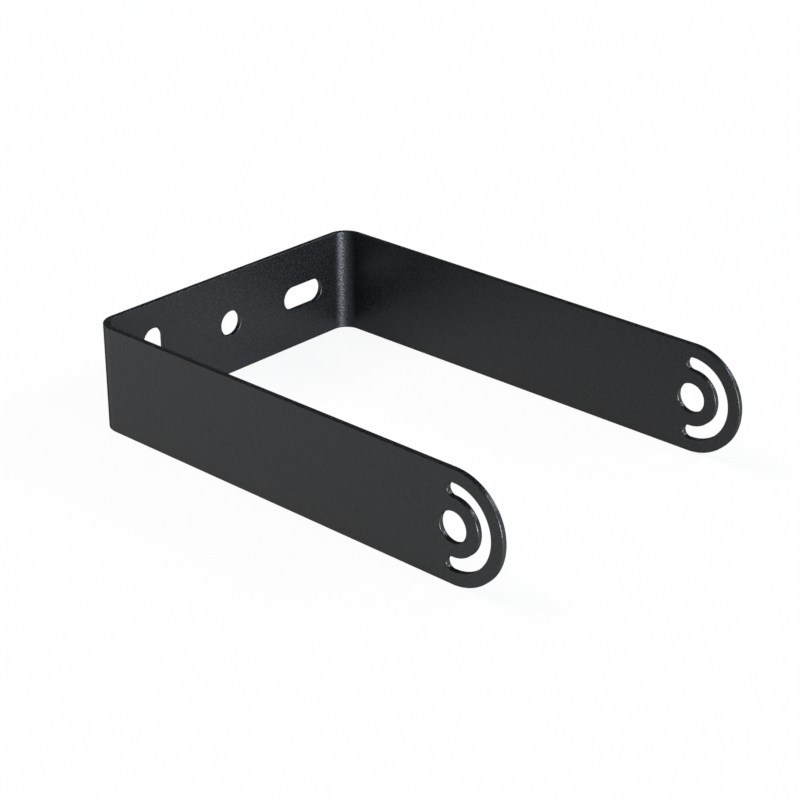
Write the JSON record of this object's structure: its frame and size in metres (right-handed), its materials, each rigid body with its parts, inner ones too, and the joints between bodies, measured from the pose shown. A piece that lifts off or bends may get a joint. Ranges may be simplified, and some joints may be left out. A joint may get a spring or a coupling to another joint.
{
  "type": "light suspension bracket",
  "caption": "U-shaped bracket folded from flat strip: a web with fixing hole and slots, and round-ended arms with pivot holes and arc slots that lock a tilting light.",
  "frame": {"origin": "centre of the middle fixing hole, on the web's outer (mounting) face", "axes": "+Y out of the mounting face, away from the arms; +X across the arms, towards the arm beside the level slot; +Z along the width of the strip. The arms run towards -Y."},
  "size_m": [0.1264, 0.186, 0.04],
  "materials": {
    "black_powder_coat": "matt black powder coat with a fine texture"
  },
  "bodies": {
    "root": {"bracket": "black_powder_coat"}
  },
  "joints": []
}
